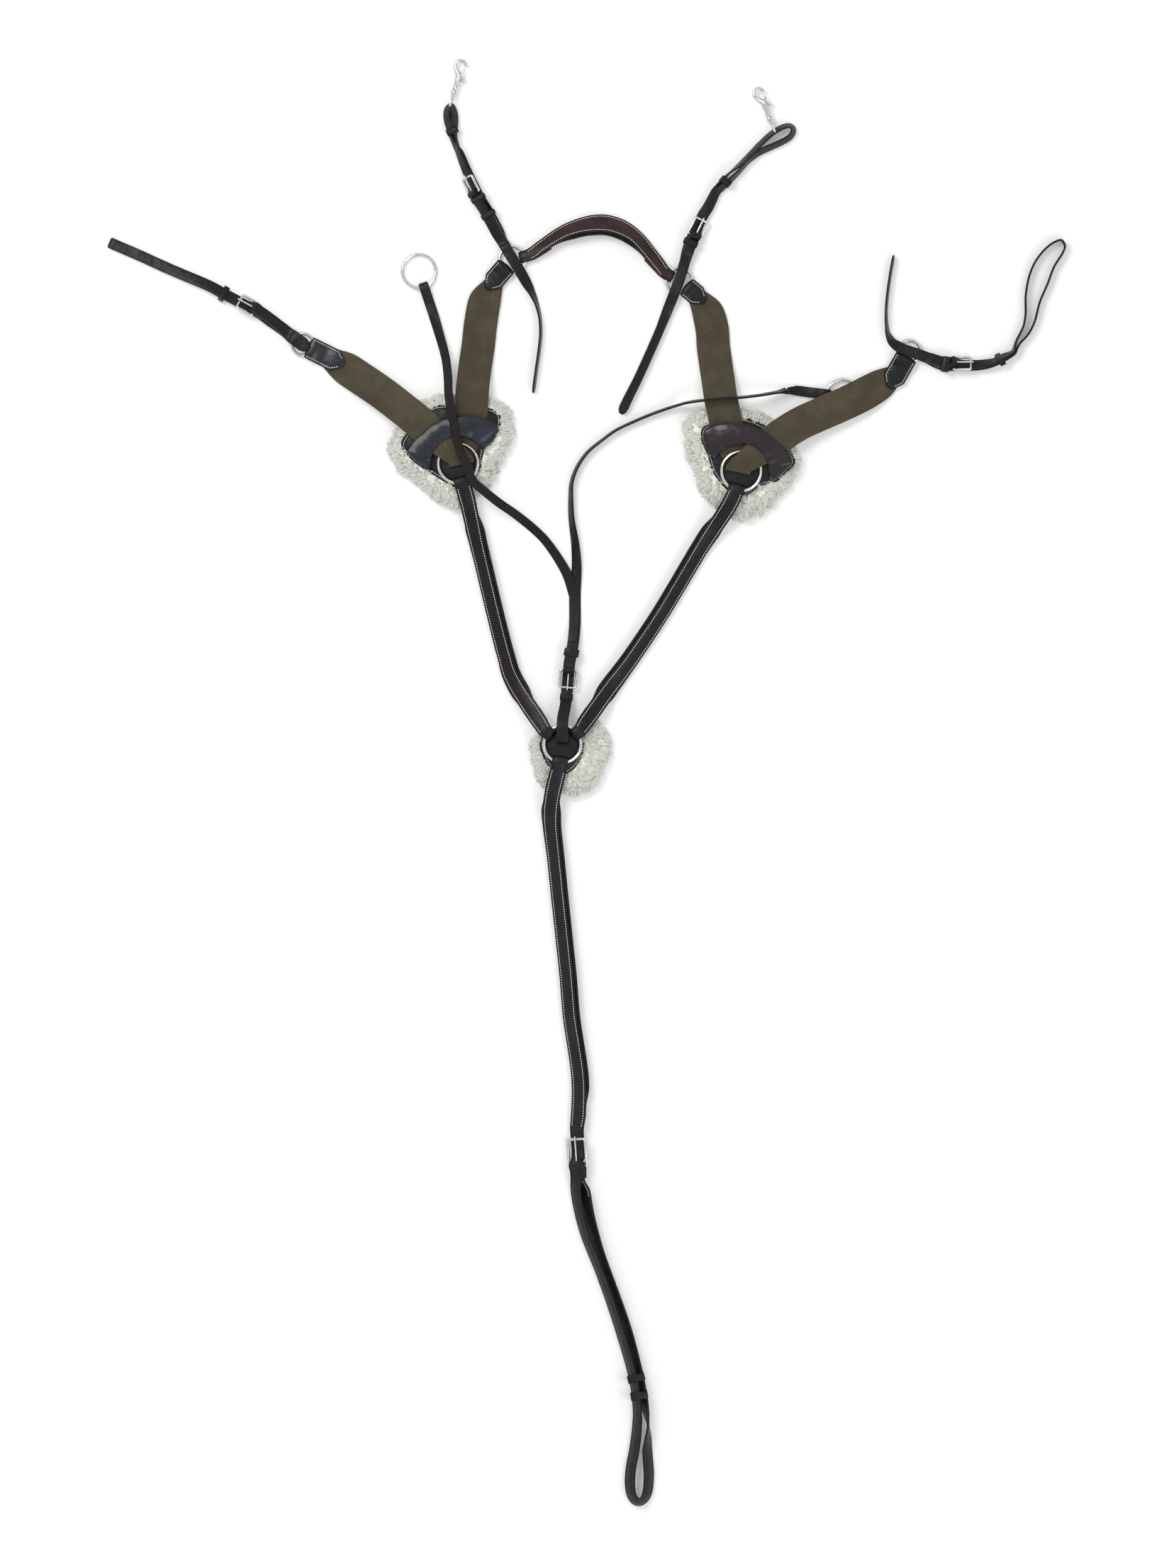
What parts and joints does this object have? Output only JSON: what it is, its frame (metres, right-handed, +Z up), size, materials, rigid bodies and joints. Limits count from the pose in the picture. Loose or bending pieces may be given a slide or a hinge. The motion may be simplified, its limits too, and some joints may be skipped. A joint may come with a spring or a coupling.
{
  "type": "horse breastplate",
  "caption": "Leather breastplate that straps across a horse's chest, with sheepskin pads, elastic inserts, girth strap, running martingale, snap hooks and flank straps.",
  "frame": {"origin": "On the surface that the breastplate lies on, under the middle of the chest ring, in the flat underside of the chest pad's sheepskin.", "axes": "+X to the right of the piece as it lies in view, +Y from the chest ring towards the withers, +Z up off the surface."},
  "size_m": [1.1492, 1.7343, 0.0434],
  "materials": {
    "black_leather": "satin bridle leather",
    "brown_leather": "satin bridle leather",
    "patent_leather": "glossy edge-painted leather",
    "padded_lining": "soft matt padded leather",
    "elastic_webbing": "woven elastic webbing",
    "sheepskin": "curly wool pile",
    "stainless_steel": "polished stainless steel"
  },
  "bodies": {
    "root": {"chest_pad_sheepskin": "sheepskin", "chest_pad_leather": "black_leather", "wither_strap": "brown_leather", "wither_strap_lining": "padded_lining", "left_side_pad_sheepskin": "sheepskin", "left_side_pad_leather": "black_leather", "left_side_arch": "patent_leather", "left_elastic": "elastic_webbing", "left_wither_tab": "black_leather", "left_chest_strap": "black_leather", "left_chest_strap_lining": "padded_lining", "right_side_pad_sheepskin": "sheepskin", "right_side_pad_leather": "black_leather", "right_side_arch": "patent_leather", "right_elastic": "elastic_webbing", "right_wither_tab": "black_leather", "right_chest_strap": "black_leather", "right_chest_strap_lining": "padded_lining"},
    "chest_ring": {"chest_ring": "stainless_steel"},
    "left_side_ring": {"left_side_ring": "stainless_steel"},
    "left_wither_ring": {"left_wither_ring": "stainless_steel"},
    "left_flank_tab": {"left_flank_tab": "patent_leather"},
    "left_flank_ring": {"left_flank_ring": "stainless_steel"},
    "left_flank_strap": {"left_flank_strap": "black_leather", "left_flank_buckle": "stainless_steel", "left_flank_keeper": "black_leather"},
    "left_snap_strap": {"left_snap_strap": "black_leather", "left_snap_buckle": "stainless_steel"},
    "right_side_ring": {"right_side_ring": "stainless_steel"},
    "right_wither_ring": {"right_wither_ring": "stainless_steel"},
    "right_flank_tab": {"right_flank_tab": "patent_leather"},
    "right_flank_ring": {"right_flank_ring": "stainless_steel"},
    "right_flank_strap": {"right_flank_strap": "black_leather", "right_flank_buckle": "stainless_steel", "right_flank_keeper": "black_leather"},
    "right_snap_strap": {"right_snap_strap": "black_leather", "right_snap_buckle": "stainless_steel"},
    "girth": {"girth_strap": "black_leather", "girth_strap_lining": "padded_lining", "girth_buckle": "stainless_steel", "girth_keeper_upper": "black_leather", "girth_keeper_lower": "black_leather"},
    "martingale": {"martingale_fork": "black_leather", "martingale_billet": "black_leather", "martingale_buckle": "stainless_steel", "martingale_keeper": "black_leather"},
    "left_flank_buckle_tongue": {"left_flank_buckle_tongue": "stainless_steel"},
    "right_flank_buckle_tongue": {"right_flank_buckle_tongue": "stainless_steel"},
    "left_snap_buckle_tongue": {"left_snap_buckle_tongue": "stainless_steel"},
    "right_snap_buckle_tongue": {"right_snap_buckle_tongue": "stainless_steel"},
    "girth_buckle_tongue": {"girth_buckle_tongue": "stainless_steel"},
    "martingale_buckle_tongue": {"martingale_buckle_tongue": "stainless_steel"},
    "left_snap_eye": {"left_snap_eye": "stainless_steel"},
    "left_snap_hook": {"left_snap_hook": "stainless_steel"},
    "left_snap_gate": {"left_snap_gate": "stainless_steel"},
    "right_snap_eye": {"right_snap_eye": "stainless_steel"},
    "right_snap_hook": {"right_snap_hook": "stainless_steel"},
    "right_snap_gate": {"right_snap_gate": "stainless_steel"},
    "left_martingale_ring": {"left_martingale_ring": "stainless_steel"},
    "right_martingale_ring": {"right_martingale_ring": "stainless_steel"}
  },
  "joints": [
    {"name": "chest_ring_turn", "type": "hinge", "parent": "root", "child": "chest_ring", "pos_m": [0, 0, 0.0262], "axis": [0, 0, 1], "continuous": true},
    {"name": "left_side_ring_turn", "type": "hinge", "parent": "root", "child": "left_side_ring", "pos_m": [-0.125, 0.336, 0.0262], "axis": [0, 0, 1], "continuous": true},
    {"name": "left_wither_ring_turn", "type": "hinge", "parent": "root", "child": "left_wither_ring", "pos_m": [-0.06, 0.581, 0.0059], "axis": [0, 0, 1], "continuous": true},
    {"name": "left_elastic_stretch", "type": "slide", "parent": "root", "child": "left_flank_tab", "axis": [-0.8425, 0.5388, 0], "range_m": [0, 0.03], "stiffness_N_per_m": 500},
    {"name": "left_flank_ring_turn", "type": "hinge", "parent": "left_flank_tab", "child": "left_flank_ring", "pos_m": [-0.311, 0.479, 0.0059], "axis": [0, 0, 1], "continuous": true},
    {"name": "left_flank_swing", "type": "hinge", "parent": "left_flank_tab", "child": "left_flank_strap", "pos_m": [-0.311, 0.479, 0.0059], "axis": [0, 0, 1], "range_deg": [-12, 12]},
    {"name": "left_snap_swing", "type": "hinge", "parent": "root", "child": "left_snap_strap", "pos_m": [-0.06, 0.581, 0.0059], "axis": [0, 0, 1], "range_deg": [-8, 8]},
    {"name": "right_side_ring_turn", "type": "hinge", "parent": "root", "child": "right_side_ring", "pos_m": [0.214, 0.327, 0.0262], "axis": [0, 0, 1], "continuous": true},
    {"name": "right_wither_ring_turn", "type": "hinge", "parent": "root", "child": "right_wither_ring", "pos_m": [0.14, 0.555, 0.0059], "axis": [0, 0, 1], "continuous": true},
    {"name": "right_elastic_stretch", "type": "slide", "parent": "root", "child": "right_flank_tab", "axis": [0.8599, 0.5105, 0], "range_m": [0, 0.03], "stiffness_N_per_m": 500},
    {"name": "right_flank_ring_turn", "type": "hinge", "parent": "right_flank_tab", "child": "right_flank_ring", "pos_m": [0.416, 0.471, 0.0059], "axis": [0, 0, 1], "continuous": true},
    {"name": "right_flank_swing", "type": "hinge", "parent": "right_flank_tab", "child": "right_flank_strap", "pos_m": [0.416, 0.471, 0.0059], "axis": [0, 0, 1], "range_deg": [-2, 12]},
    {"name": "right_snap_swing", "type": "hinge", "parent": "root", "child": "right_snap_strap", "pos_m": [0.14, 0.555, 0.0059], "axis": [0, 0, 1], "range_deg": [-8, 0.5]},
    {"name": "girth_swing", "type": "hinge", "parent": "root", "child": "girth", "pos_m": [0, 0, 0.0262], "axis": [0, 0, 1], "range_deg": [-12, 12]},
    {"name": "martingale_swing", "type": "hinge", "parent": "root", "child": "martingale", "pos_m": [0, 0, 0.0262], "axis": [0, 0, 1], "range_deg": [-1.5, 1.5]},
    {"name": "left_flank_tongue_lift", "type": "hinge", "parent": "left_flank_strap", "child": "left_flank_buckle_tongue", "pos_m": [-0.368, 0.521, 0.0122], "axis": [0.4495, 0.8109, -0.3746], "range_deg": [0, 8]},
    {"name": "right_flank_tongue_lift", "type": "hinge", "parent": "right_flank_strap", "child": "right_flank_buckle_tongue", "pos_m": [0.468, 0.456, 0.0122], "axis": [0.0143, -0.819, 0.5736], "range_deg": [0, 8]},
    {"name": "left_snap_tongue_lift", "type": "hinge", "parent": "left_snap_strap", "child": "left_snap_buckle_tongue", "pos_m": [-0.105, 0.66, 0.0122], "axis": [0.5777, 0.2818, 0.766], "range_deg": [0, 8]},
    {"name": "right_snap_tongue_lift", "type": "hinge", "parent": "right_snap_strap", "child": "right_snap_buckle_tongue", "pos_m": [0.158, 0.609, 0.0122], "axis": [0.8333, -0.4065, -0.3746], "range_deg": [0, 8]},
    {"name": "girth_tongue_lift", "type": "hinge", "parent": "girth", "child": "girth_buckle_tongue", "pos_m": [0.0187, -0.5051, 0.01333], "axis": [0.8808, 0.061, 0.4695], "range_deg": [0, 8]},
    {"name": "martingale_tongue_lift", "type": "hinge", "parent": "martingale", "child": "martingale_buckle_tongue", "pos_m": [0.0076, 0.089, 0.011], "axis": [-0.9962, 0.0872, 0], "range_deg": [0, 8]},
    {"name": "left_snap_eye_swing", "type": "hinge", "parent": "left_snap_strap", "child": "left_snap_eye", "pos_m": [-0.13461, 0.76476, 0.0104], "axis": [0, 0, 1], "range_deg": [-20, 20]},
    {"name": "left_snap_hook_swivel", "type": "hinge", "parent": "left_snap_eye", "child": "left_snap_hook", "pos_m": [-0.1303, 0.7812, 0.0104], "axis": [0.2538, 0.9673, 0], "continuous": true},
    {"name": "left_snap_gate_slide", "type": "slide", "parent": "left_snap_hook", "child": "left_snap_gate", "axis": [-0.2538, -0.9673, 0], "range_m": [0, 0.006], "stiffness_N_per_m": 80, "springref_m": -0.003},
    {"name": "right_snap_eye_swing", "type": "hinge", "parent": "right_snap_strap", "child": "right_snap_eye", "pos_m": [0.25448, 0.73348, 0.0104], "axis": [0, 0, 1], "range_deg": [-20, 20]},
    {"name": "right_snap_hook_swivel", "type": "hinge", "parent": "right_snap_eye", "child": "right_snap_hook", "pos_m": [0.248, 0.7492, 0.0104], "axis": [-0.3811, 0.9245, 0], "continuous": true},
    {"name": "right_snap_gate_slide", "type": "slide", "parent": "right_snap_hook", "child": "right_snap_gate", "axis": [0.3811, -0.9245, 0], "range_m": [0, 0.006], "stiffness_N_per_m": 80, "springref_m": -0.003},
    {"name": "left_martingale_ring_lift", "type": "hinge", "parent": "martingale", "child": "left_martingale_ring", "pos_m": [-0.16583, 0.54846, 0.00606], "axis": [0.9489, 0.3156, 0], "range_deg": [0, 80]},
    {"name": "right_martingale_ring_turn", "type": "hinge", "parent": "martingale", "child": "right_martingale_ring", "pos_m": [0.336, 0.417, 0.00606], "axis": [0, 0, 1], "continuous": true}
  ]
}
